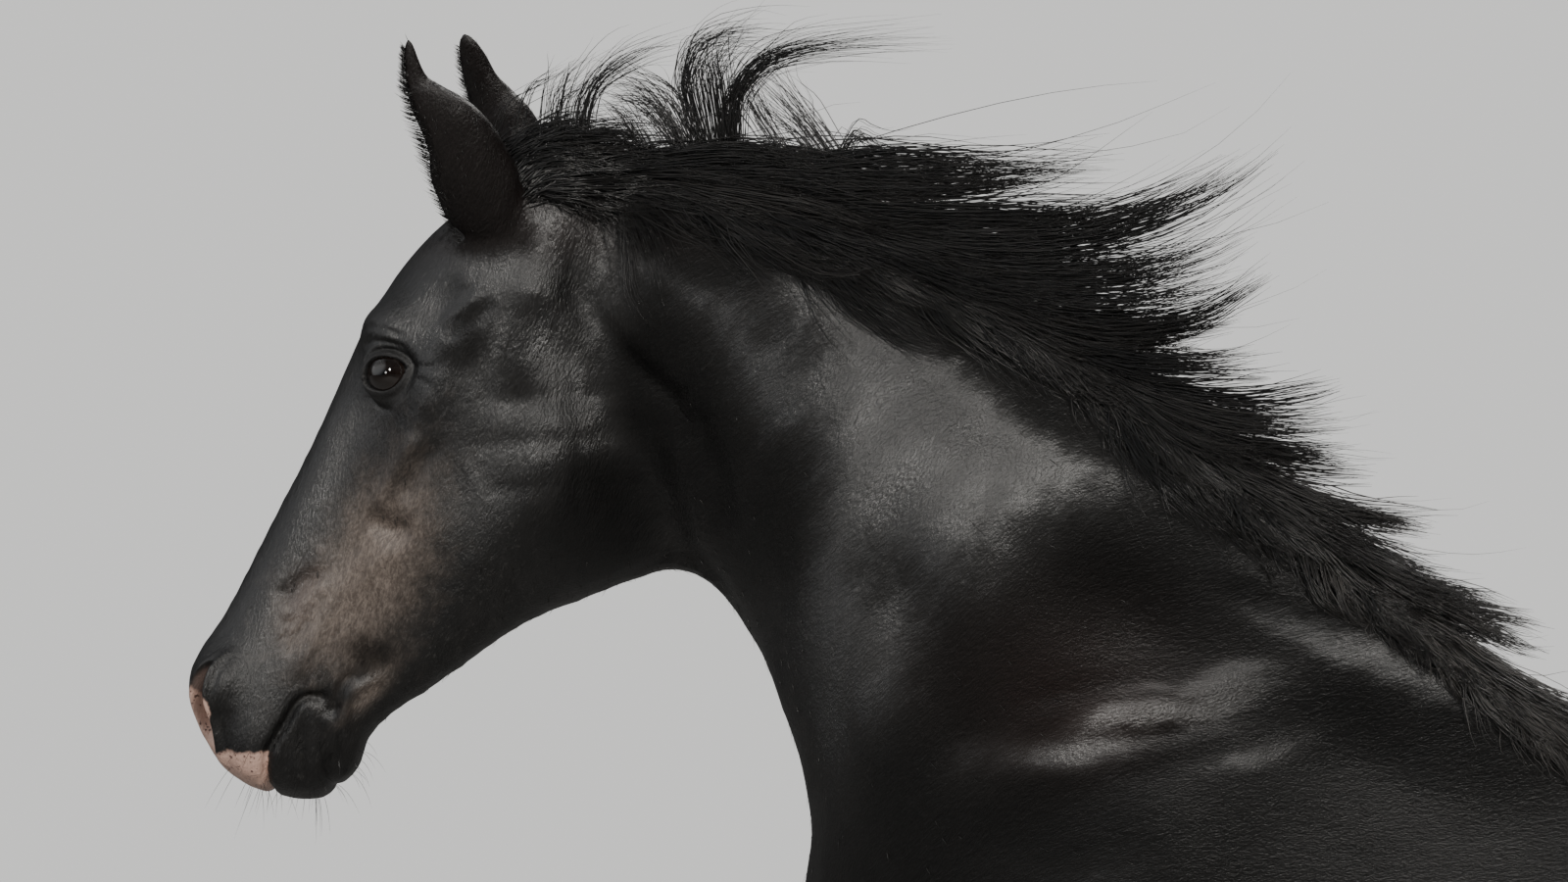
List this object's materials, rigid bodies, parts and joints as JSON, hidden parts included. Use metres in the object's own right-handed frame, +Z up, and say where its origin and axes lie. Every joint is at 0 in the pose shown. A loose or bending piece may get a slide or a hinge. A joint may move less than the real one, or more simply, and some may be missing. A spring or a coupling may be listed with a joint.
{
  "type": "friesian horse",
  "caption": "Life-size standing black horse with an arched neck, a long mane blown back, a full tail and long hair over its hooves.",
  "frame": {"origin": "on the floor under the middle of the model's bounding box", "axes": "-X the way the horse faces, -Y its left side, +Z up"},
  "size_m": [2.5547, 0.6029, 2.3195],
  "materials": {
    "short_coat": "short glossy black hair",
    "long_hair": "long satin black hair",
    "hoof_horn": "dark horn with fine growth lines",
    "eyeball": "wet dark brown"
  },
  "bodies": {
    "root": {"head": "short_coat", "neck": "short_coat", "trunk": "short_coat", "ear_left": "short_coat", "ear_right": "short_coat", "foreleg_left_upper": "short_coat", "foreleg_left_cannon": "short_coat", "foreleg_right_upper": "short_coat", "foreleg_right_cannon": "short_coat", "hindleg_left_upper": "short_coat", "hindleg_left_cannon": "short_coat", "hindleg_right_upper": "short_coat", "hindleg_right_cannon": "short_coat", "mane": "long_hair", "tail": "long_hair", "foreleg_left_feather": "long_hair", "foreleg_right_feather": "long_hair", "hindleg_left_feather": "long_hair", "hindleg_right_feather": "long_hair", "foreleg_left_hoof": "hoof_horn", "foreleg_right_hoof": "hoof_horn", "hindleg_left_hoof": "hoof_horn", "hindleg_right_hoof": "hoof_horn", "eye_left": "eyeball", "eye_right": "eyeball"}
  },
  "joints": []
}
